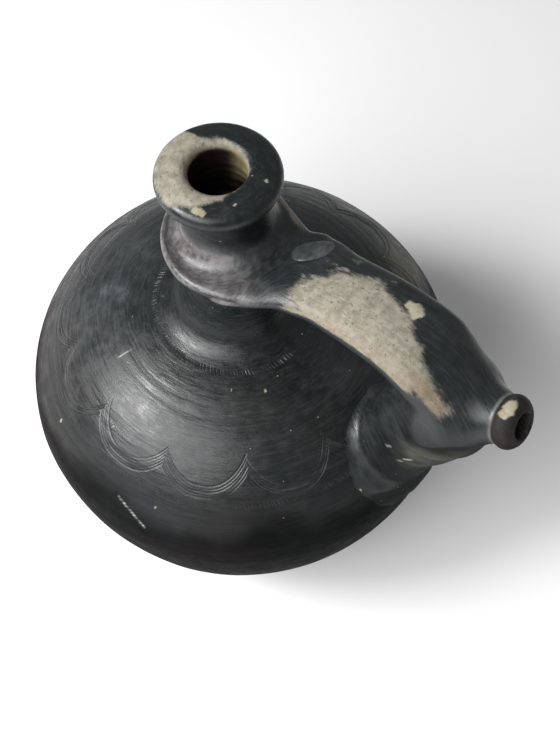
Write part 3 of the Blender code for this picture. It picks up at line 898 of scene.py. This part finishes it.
def paint_body(p, n, s, azimuth):
    """Painted values of the turned body, with painted shade low on the belly."""
    x, y, h = p.T
    radius = np.hypot(x, y)
    left = bump(0, 75, (np.degrees(np.arctan2(y, x)) + 330) % 360 - 180)
    dusty = left * smooth(34, 66, radius) * smooth(40, 62, h)
    blotches = (0.8 * blob(p, (-54, -32, 69), (9, 7, 14))
                + 0.6 * blob(p, (-63, -33, 66), (7, 8, 12)))
    haze = (blotches * unit(0.6 + 0.9 * cloudy(p, 5, 60)) + dusty * (0.22 + 0.2 * cloudy(p, 26, 61))
            + 0.10 * unit(cloudy(p, 34, 66)))
    olive = blob(p, (46, 86, 48), (36, 22, 26)) + 0.25 * cloudy(p, 17, 62)
    warm = left * smooth(78, 118, radius) + 0.4 * smooth(0.05, 0.35, cloudy(p, 60, 64))
    return {
        "comb": comb_of(azimuth, s),
        "cloud_and_painted_light": np.zeros(len(p)),
        "olive": unit(smooth(0.08, 0.95, olive) * 0.8),
        "chip": chip_mask(p),
        "scrape": scrape_mask(p, n),
        "haze": unit(haze),
        "warm": unit(warm),
        "dust": unit(0.5 + 0.5 * cloudy(p, 20, 65)) * 0.3 + 0.5 * dusty,
        # painted shade low on the belly and far out from the axis
        "shade_and_matt": painted_low_shade(p),
    }


def lip_cloud(p, ragged):
    """The unsmoked patch on the left of the mouth, thinning to a line round the bore."""
    x, y, h = p.T
    across, along = x - NECK_LEAN[0], y - NECK_LEAN[1]
    radius, azimuth = np.hypot(across, along), np.degrees(np.arctan2(along, across))
    reach = np.interp(azimuth, *zip(*LIP_CLOUD))
    return smooth(2.8, -2.8, radius - reach + 2.2 * ragged) * smooth(176.5, 180.8, h), radius, azimuth


def strap_cloud(p, n, over, ragged):
    """The unsmoked patch on top of the strap, torn and frayed at its edge."""
    x, y, h = p.T
    side = side_of(STRAP_CLOUD, x, y)
    torn = 0.8 + 1.6 * smooth(74, 50, x)
    patch = smooth(-1, 1, side / 4.5 + torn * ragged)
    frays = smooth(0.18, 0.5, cloudy(p * np.array((0.5, 1, 1)), 3.4, 75)) * smooth(-15, -2, side)
    patch = np.maximum(patch, 0.62 * frays * smooth(96, 78, x) * smooth(34, 42, x))
    patch = patch * smooth(0, 0.4, n[:, 2]) * smooth(100, 116, h) * smooth(-6, -1, over)
    return patch * (1 - smooth(112, 122, x) * smooth(-18.5, -21, y))


def paint_added(p, n):
    """Painted values of the collar, mouth, strap and spout, with painted shade under the clay and in the
    bore, and painted light on the bore's lit wall.
    """
    x, y, h = p.T
    facing = n[:, 2]
    run, over = handle_place(p)
    ragged = cloudy(p * np.array((0.45, 1, 1)), 7, 71)
    on_neck = smooth(46, 24, x + 7 * ragged)
    strap = strap_cloud(p, n, over, ragged)
    lip, mouth_r, mouth_az = lip_cloud(p, ragged)
    # Painted shade inside the bore, and painted light on the part of its wall that the light reaches.
    throat = smooth(15.4, 13.8, mouth_r) * smooth(110, 160, h) * smooth(181.5, 178, h)
    lit_side = bump(40, 100, mouth_az)
    band = (smooth(-6.5, -3, web_side(p) + 1.2 * ragged) * bump(19, 28, x)
            * smooth(131, 136, h) * smooth(147, 143, h))
    out, _, up = nozzle_place(p)
    rim = smooth(NOZZLE_LEN - 1, NOZZLE_LEN + 0.5, out)
    seam = bump(NOZZLE_LEN - 0.4, 1.3, out) * smooth(-6, 4, up - y) * unit(0.55 + 0.9 * ragged)
    smeared = np.maximum(smooth(16, -8, x), smooth(-10, -24, y)) * 0.8 + 0.2
    collar_top = (smeared * on_neck * smooth(127, 134, h) * smooth(155, 147, h)
                  * smooth(-0.2, 0.4, facing))
    edge = (bump(0.50, 0.30, facing) * smooth(133, 136, h) * smooth(150, 146, h)
            * smooth(4, -10, y))
    worn = edge * smooth(62, 46, x) * unit(0.45 + 1.1 * cloudy(p, 6, 74))
    horn_low = (smooth(4, -20, y) * smooth(126, 96, h) * smooth(48, 80, h)
                * smooth(100, 132, x))
    # Painted shade: darker where the clay faces down, under the strap and the collar.
    under = smooth(0.35, -0.2, facing) * smooth(40, 50, x) * smooth(150, 140, h)
    under = (under * (0.6 + 0.4 * smooth(125, 60, x))
             + 0.8 * smooth(-0.1, -0.6, facing) * smooth(50, 40, x))
    # Painted shade low on the spout.
    spout_low_shade = painted_low_shade(p) * smooth(60, 80, x) * smooth(132, 112, h)
    on_strap = np.column_stack((y + 0.6 * over + 168, run * 0.12, 0.1 * over))
    share = smooth(44, 24, x)[:, None]
    return {
        "comb": comb_of(np.arctan2(y, x), h + mouth_r) * share + on_strap * (1 - share),
        # unsmoked patches, and painted light on the bore's lit wall
        "cloud_and_painted_light": unit(strap + lip + 0.75 * band + 0.30 * rim * smooth(-2, -9, up)
                      + 0.55 * throat * lit_side * smooth(150, 174, h)),
        # the horn's olive patch, and painted light on the bore's lit wall
        "olive": unit(0.6 * horn_low * (0.7 + 0.5 * ragged) + 0.75 * throat * lit_side),
        "chip": chip_mask(p),
        "scrape": unit(scrape_mask(p, n) + 0.5 * seam),
        "haze": unit(collar_top * (0.72 + 0.55 * cloudy(p, 15, 72)) + worn + 0.10 * (1 - on_neck)),
        "warm": unit(0.8 * collar_top + worn + 0.9 * rim + throat
                     + strap * (0.6 * smooth(-11, -18, y) + 0.5 * smooth(104, 124, x))),
        "dust": unit(0.5 + 0.5 * cloudy(p, 10, 73)) * (0.35 + 0.65 * bump(0.5, 0.5, strap)),
        "groove": np.zeros(len(p)),
        # painted shade under the clay, on the low spout and in the bore, and the dull nozzle rim
        "shade_and_matt": unit(under + throat * (1 - 0.6 * lit_side) + 0.7 * rim + spout_low_shade),
    }


# ---- materials


# Linear colours of the clay, black to bare.
BLACKS = ((0.0025, 0.0046, 0.0052), (0.0052, 0.0082, 0.0090))
# The first colour here is for painted shade, and for the dull nozzle rim.
MATT_AND_SHADE_BLACK, WARM_BLACK = (0.0035, 0.0035, 0.0034), (0.017, 0.010, 0.009)
RING_GREY, STREAK_GREY, MOTTLE_GREY = (0.014, 0.0175, 0.0185), (0.018, 0.022, 0.023), (0.016, 0.018, 0.018)
COOL_HAZE, WARM_HAZE = (0.110, 0.122, 0.126), (0.158, 0.145, 0.147)
OLIVE, OCHRE = (0.125, 0.122, 0.100), (0.300, 0.245, 0.120)
CREAM, CREAM_DARK, CREAM_STREAK = (0.300, 0.278, 0.222), (0.185, 0.166, 0.128), (0.150, 0.132, 0.100)
CREAM_WARM, PIT = (0.175, 0.118, 0.066), (0.050, 0.046, 0.038)
GROOVE_GREY, SPECK, SCRAPED = (0.060, 0.067, 0.068), (0.30, 0.30, 0.28), (0.34, 0.34, 0.32)
CHIP_DARK, CHIP_PALE = (0.25, 0.215, 0.145), (0.36, 0.33, 0.25)
# Depths in metres, and strengths, of the rings, streaks, fine streaks, mottle and grain.
RELIEF = (0.0005, 0.00018, 0.00007, 0.00018, 0.00005), (0.5, 0.6, 0.6, 0.7, 0.7)


class Shader:
    """Small helper that adds and links shader nodes."""

    def __init__(self, name):
        self.material = bpy.data.materials.new(name)
        self.material.use_nodes = True
        self.tree = self.material.node_tree
        self.surface = self.tree.nodes["Principled BSDF"]
        self.place = self.add("ShaderNodeTexCoord").outputs["Object"]

    def add(self, kind, **settings):
        node = self.tree.nodes.new(kind)
        for key, value in settings.items():
            setattr(node, key, value)
        return node

    def feed(self, socket, value):
        if isinstance(value, bpy.types.NodeSocket):
            self.tree.links.new(value, socket)
        elif isinstance(value, tuple) and socket.type == "RGBA":
            socket.default_value = (*value, 1)
        else:
            socket.default_value = value

    def paint(self, name):
        return self.add("ShaderNodeAttribute", attribute_name=name).outputs["Fac"]

    def fed(self, kind, values, **settings):
        """A new node with some of its inputs, given by name or number, set or linked."""
        node = self.add(kind, **settings)
        for key, value in values.items():
            self.feed(node.inputs[key], value)
        return node

    def noise(self, scale, detail=3, rough=0.55, vector=None):
        return self.fed("ShaderNodeTexNoise", {"Vector": vector or self.place, "Scale": scale,
                                               "Detail": detail, "Roughness": rough}).outputs["Fac"]

    def math(self, operation, a, b=0, clamp=False):
        return self.fed("ShaderNodeMath", {0: a, 1: b}, operation=operation, use_clamp=clamp).outputs[0]

    def times(self, a, b):
        return self.math("MULTIPLY", a, b)

    def plus(self, a, b):
        return self.math("ADD", a, b)

    def ramp(self, value, low, high, to_low=0, to_high=1):
        values = dict(enumerate((value, low, high, to_low, to_high)))
        return self.fed("ShaderNodeMapRange", values, interpolation_type="SMOOTHSTEP").outputs[0]

    def mix(self, share, a, b):
        return self.fed("ShaderNodeMix", {0: share, 6: a, 7: b}, data_type="RGBA").outputs[2]

    def specks(self, scale, size):
        """Round specks, one in each cell, and a random value for each cell."""
        node = self.fed("ShaderNodeTexVoronoi", {"Vector": self.place, "Scale": scale})
        pick = self.fed("ShaderNodeSeparateColor", {0: node.outputs["Color"]})
        return self.ramp(node.outputs["Distance"], size, size * 0.6), pick.outputs[0]

    def bump(self, height, distance, strength, onto=None):
        values = {"Height": height, "Distance": distance, "Strength": strength}
        return self.fed("ShaderNodeBump", values | ({"Normal": onto} if onto else {})).outputs["Normal"]

    def surface_is(self, **values):
        """Set or link inputs of the surface, named with _ for each space."""
        for key, value in values.items():
            self.feed(self.surface.inputs[key.replace("_", " ")], value)


def smoke_wear_and_painted_light(s, colour, mottle, streaks, fine_streaks):
    """The black clay's haze, clouds, tool marks, specks, chips and scrapes, with painted shade and painted
    light: colour, and how bare it is.
    """
    warm, cloud_and_painted_light, olive, shade_and_matt = s.paint("warm"), s.paint("cloud_and_painted_light"), s.paint("olive"), s.paint("shade_and_matt")
    haze, dust, chip = s.paint("haze"), s.paint("dust"), s.paint("chip")
    uneven = s.math("SUBTRACT", mottle, 0.5)
    # Painted shade on the low belly, under the clay and in the bore, and the dull nozzle rim, go near black
    # here.
    colour = s.mix(s.times(shade_and_matt, 0.75), colour, MATT_AND_SHADE_BLACK)
    colour = s.mix(s.times(warm, 0.5), colour, WARM_BLACK)
    patchy = s.ramp(s.plus(mottle, streaks), 0.78, 1.22, 0.38, 1)
    colour = s.mix(s.times(haze, patchy), colour, s.mix(warm, COOL_HAZE, WARM_HAZE))
    # Olive and ochre smoke clouds, and painted light on the bore's lit wall.
    smoke_and_lit_wall = s.ramp(s.plus(olive, s.times(uneven, 0.35)), 0.08, 1)
    colour = s.mix(smoke_and_lit_wall, colour, s.mix(warm, OLIVE, OCHRE))
    # Unsmoked cream patches, and painted light on the bore's lit wall, show through here.
    frayed = s.plus(s.plus(cloud_and_painted_light, s.math("SUBTRACT", fine_streaks, 0.5)), s.times(uneven, 0.8))
    clear = s.ramp(frayed, 0.24, 0.90)
    cream = s.mix(s.ramp(s.noise(260, 4, 0.65), 0.32, 0.68), CREAM_DARK, CREAM)
    cream = s.mix(s.ramp(fine_streaks, 0.5, 0.78, 0, 0.6), cream, CREAM_STREAK)
    cream = s.mix(s.times(warm, 0.55), cream, CREAM_WARM)
    cream = s.mix(s.times(s.ramp(s.noise(620, 2, 0.6), 0.60, 0.72), 0.7), cream, PIT)
    colour = s.mix(clear, colour, cream)
    colour = s.mix(s.times(s.paint("groove"), s.ramp(mottle, 0.35, 0.7, 0.1, 0.6)), colour, GROOVE_GREY)
    near, pick = s.specks(480, 0.20)
    chosen = s.math("GREATER_THAN", s.plus(pick, s.times(dust, 0.012)), 0.996)
    colour = s.mix(s.times(s.times(near, chosen), 0.7), colour, SPECK)
    colour = s.mix(chip, colour, s.mix(s.ramp(mottle, 0.4, 0.6), CHIP_DARK, CHIP_PALE))
    colour = s.mix(s.paint("scrape"), colour, SCRAPED)
    bare = s.math("MAXIMUM", s.times(clear, 0.8), chip)
    bare = s.math("MAXIMUM", bare, s.times(smoke_and_lit_wall, 0.4))
    # Painted shade and the dull nozzle rim also dim the reflection.
    s.surface_is(Specular_IOR_Level=s.ramp(shade_and_matt, 0, 1, 0.5, 0.03))
    return colour, s.math("MAXIMUM", bare, shade_and_matt)


def clay_material(name, painted=True, gloss=0.33):
    """Smoke-blackened clay, burnished in rings; where it is painted, with all its marks and its painted shade
    and light.
    """
    s = Shader(name)
    if painted:
        comb = s.add("ShaderNodeAttribute", attribute_name="comb").outputs["Vector"]
        streaks, fine_streaks = s.noise(0.9, 3, 0.6, comb), s.noise(3.2, 2, 0.5, comb)
        rings = s.noise(0.26, 2, 0.55, comb)
    else:
        streaks, fine_streaks, rings = s.noise(300), s.noise(700), s.noise(90)
    broad, mottle, grain = s.noise(22, 4, 0.6), s.noise(120, 4, 0.65), s.noise(1500, 3, 0.7)
    colour = s.mix(s.ramp(broad, 0.3, 0.7), *BLACKS)
    colour = s.mix(s.ramp(rings, 0.5, 0.72, 0, 0.6), colour, RING_GREY)
    colour = s.mix(s.ramp(streaks, 0.48, 0.75, 0, 0.5), colour, STREAK_GREY)
    colour = s.mix(s.ramp(mottle, 0.52, 0.78, 0, 0.35), colour, MOTTLE_GREY)
    if painted:
        colour, bare = smoke_wear_and_painted_light(s, colour, mottle, streaks, fine_streaks)
    else:
        bare = s.ramp(broad, 0.4, 0.7, 0.2, 0.6)
        s.surface_is(Specular_IOR_Level=0.3)
    shine = s.ramp(s.plus(mottle, s.times(streaks, 0.8)), 0.6, 1.2, gloss - 0.06, gloss + 0.14)
    normal = s.bump(broad, 0.0006, 0.5)
    for texture, depth, strength in zip((rings, streaks, fine_streaks, mottle, grain), *RELIEF):
        normal = s.bump(texture, depth, strength, normal)
    s.surface_is(Base_Color=colour, Roughness=s.math("ADD", shine, s.times(bare, 0.30), clamp=True),
                 Normal=normal)
    return s.material


def floor_material():
    """Matt white paper, with the faintest tooth."""
    s = Shader("white_paper")
    tooth = s.noise(900, 2)
    s.surface_is(Base_Color=s.mix(tooth, (0.86, 0.86, 0.86), (0.90, 0.90, 0.90)), Roughness=0.85,
                 Specular_IOR_Level=0.2, Normal=s.bump(tooth, 0.00004, 0.4))
    return s.material


# ---- the pieces


def finish_piece(piece, material, node):
    """Give a piece its material and finish, and let it stand for its CAD node."""
    piece.data.materials.clear()
    piece.data.materials.append(material)
    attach(piece, BODY)
    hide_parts(node)


def build_turned(material):
    """The two halves of the belly and the foot of the neck, each with its plain inside wall."""
    lower, upper, stem = turned_rows()
    wall = BELLY_R - BELLY_WALL
    below = [(wall * math.cos(a), wall * math.sin(a)) for a in np.radians(np.linspace(0, -56, 12))]
    above = [(wall * math.cos(a), 66 * math.sin(a)) for a in np.radians(np.linspace(66, 0, 6))]
    inside_stem = [(NECK_BORE_R, STEM_CUT), (NECK_BORE_R, 92), (18, 80), (27, 72.5)]
    neck_seat = (SHOULDER_R, SHOULDER_RISE - 5.5)
    for name, rows, columns, inner, node in (
        ("turned_lower_bowl", lower, 720, below + [(FLOOR_R, FOOT_H + 8)], "lower_bowl"),
        ("turned_shoulder", upper, 1440, [neck_seat] + above, "shoulder_dome"),
        ("turned_neck_stem", stem, 720, inside_stem + [neck_seat], "neck_stem"),
    ):
        finish_piece(turned_piece(name, rows, columns, inner), material, node)


def build_added(material):
    """The collar, mouth, strap and spout, parted into the pieces the jug is made of."""
    points, quads, normals = blended_mesh()
    paint = paint_added(points, normals)
    points = points - 0.30 * normals * paint["chip"][:, None]
    paint["way_out"] = normals
    whole = mesh_from("blended_clay", points, quads, paint)
    up, down, out, back = (0, 0, 1), (0, 0, -1), (1, 0, 0), (-1, 0, 0)
    nozzle_out = (NOZZLE_AXIS[0], 0, NOZZLE_AXIS[1])
    foot = (NOZZLE_FOOT[0], 0, NOZZLE_FOOT[1])
    end = tuple(np.array(foot) + NOZZLE_LEN * np.array(nozzle_out))

    def level(h):
        return (0, 0, h)

    def other(way):
        return tuple(-k for k in way)

    on_neck, off_neck = (STRAP_FROM, out), (STRAP_FROM, back)
    parts = (
        ("mouth_lip_skin", "mouth_lip", "worn_clay", on_neck, (level(LIP_CUT), down)),
        ("upper_neck_skin", "upper_neck", "burnished_clay", on_neck, (level(LIP_CUT), up),
         (level(WAIST_CUT), down)),
        ("collar_skin", "neck_collar", "worn_clay", on_neck, (level(WAIST_CUT), up), (level(STEM_CUT), down)),
        ("strap_skin", "strap_handle", "clouded_clay", off_neck, (STRAP_TO, STRAP_WAY)),
        ("spout_horn_skin", "spout_horn", "burnished_clay", off_neck, (STRAP_TO, other(STRAP_WAY)),
         (foot, nozzle_out), (WELD_TOP, other(WELD_WAY))),
        ("spout_root_skin", "spout_root_weld", "burnished_clay", off_neck, (WELD_TOP, WELD_WAY)),
        ("nozzle_skin", "spout_nozzle", "burnished_clay", (foot, other(nozzle_out)), (end, nozzle_out)),
        ("nozzle_rim_skin", "nozzle_rim", "worn_clay", (end, other(nozzle_out))),
    )
    for name, node, slot, *planes in parts:
        finish_piece(cut_piece(name, whole, planes), material, node)
    bpy.data.objects.remove(whole, do_unlink=True)


def build_thumb_lens(material):
    """Lens of clay pressed onto the root of the strap with a thumb."""
    rows, columns = 40, 120
    v = np.linspace(-0.5 * math.pi, 0.5 * math.pi, rows)
    u = np.arange(columns) * math.tau / columns
    vv, uu = np.meshgrid(v, u, indexing="ij")
    flat = np.abs(np.cos(vv)) ** 0.8
    lens = np.stack((flat * np.cos(uu), flat * np.sin(uu), np.sin(vv)), axis=-1).reshape(-1, 3)
    lens = lens * np.array(LENS_HALF)
    lens[:, 0] += 0.9 * (lens[:, 1] / LENS_HALF[1]) ** 2
    place = Matrix.Translation(LENS_AT)
    for degrees, axis in LENS_TURNS:
        place = place @ Matrix.Rotation(math.radians(degrees), 4, axis)
    turn = np.array(place)
    points = lens @ turn[:3, :3].T + turn[:3, 3]
    points += 0.12 * noise(points, 4, 81)[:, None] * lens / np.linalg.norm(lens, axis=1, keepdims=True)
    blank = np.zeros(len(points))
    paint = {key: blank for key in ("cloud_and_painted_light", "olive", "chip", "scrape", "warm", "groove", "dust", "shade_and_matt")}
    paint["haze"] = unit(0.55 + 0.5 * cloudy(points, 5, 82))
    paint["comb"] = points * np.array((0.5, 0.1, 0.1))
    piece = mesh_from("thumbed_lens", points, grid_quads(rows, columns, closed=False), paint)
    bm = bmesh.new()
    bm.from_mesh(piece.data)
    bmesh.ops.remove_doubles(bm, verts=bm.verts, dist=1e-7)
    bm.to_mesh(piece.data)
    bm.free()
    finish_piece(piece, material, "thumb_pad")


def dress_cad_nodes(material):
    """The floor disc keeps its CAD shape and gets a finished material."""
    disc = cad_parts["base_disc"]
    disc.data.materials.clear()
    disc.data.materials.append(material)


# ---- floor, light and camera


# Metres. The camera's axes are unit vectors: to its right, up, and back from the jug.
LIT_POINT, SURROUND = (0, 0, 0.12), 0.27
EYE_AT, EYE_LENS = (0.1900481, -0.1968006, 0.6221047), 49.19
EYE_SIDE = (0.7881856, 0.6152796, -0.0139478)
EYE_UP = (-0.5391478, 0.7012336, 0.4664666)
EYE_BACK = (0.2967881, -0.3601424, 0.8844288)


def build_floor():
    """A plain pale floor, wide enough to fill the picture."""
    mesh = bpy.data.meshes.new("floor")
    bm = bmesh.new()
    bmesh.ops.create_grid(bm, x_segments=8, y_segments=8, size=3)
    bm.to_mesh(mesh)
    bm.free()
    floor = linked("floor", mesh)
    floor.data.materials.append(floor_material())


def area_light(name, azimuth, elevation, distance, size, power):
    """Soft box that looks at the jug from an azimuth and elevation in degrees."""
    light = bpy.data.lights.new(name, "AREA")
    light.shape = "RECTANGLE"
    light.size, light.size_y = size
    light.energy = power
    lamp = linked(name, light)
    a, e = math.radians(azimuth), math.radians(elevation)
    way = Vector((math.cos(a) * math.cos(e), math.sin(a) * math.cos(e), math.sin(e)))
    lamp.location = Vector(LIT_POINT) + way * distance
    lamp.rotation_euler = way.to_track_quat("Z", "Y").to_euler()


def build_light():
    """Two soft boxes on the left, like windows, and a dim white surround."""
    area_light("window", -99, 44, 1.6, (1.4, 1.1), 28)
    area_light("side_window", -130, 46, 1.3, (0.4, 0.4), 13)
    world = bpy.data.worlds.new("studio")
    bpy.context.scene.world = world
    world.use_nodes = True
    sky = world.node_tree.nodes["Background"]
    sky.inputs["Color"].default_value = (1, 1, 1, 1)
    sky.inputs["Strength"].default_value = SURROUND
    bpy.context.scene.view_settings.view_transform = "Standard"


def build_camera():
    """Camera that looks down on the jug from in front and to the right of its spout."""
    camera = bpy.data.cameras.new("camera")
    camera.sensor_width = 36
    camera.lens = EYE_LENS
    camera.clip_start = 0.02
    eye = linked("camera", camera)
    turn = Matrix((EYE_SIDE, EYE_UP, EYE_BACK)).transposed().to_4x4()
    eye.matrix_world = Matrix.Translation(EYE_AT) @ turn
    bpy.context.scene.camera = eye


build_camera()
build_floor()
build_light()
jug_clay = clay_material("smoked_clay")
build_turned(jug_clay)
build_added(jug_clay)
build_thumb_lens(jug_clay)
dress_cad_nodes(clay_material("smoked_clay_underside", painted=False, gloss=0.5))
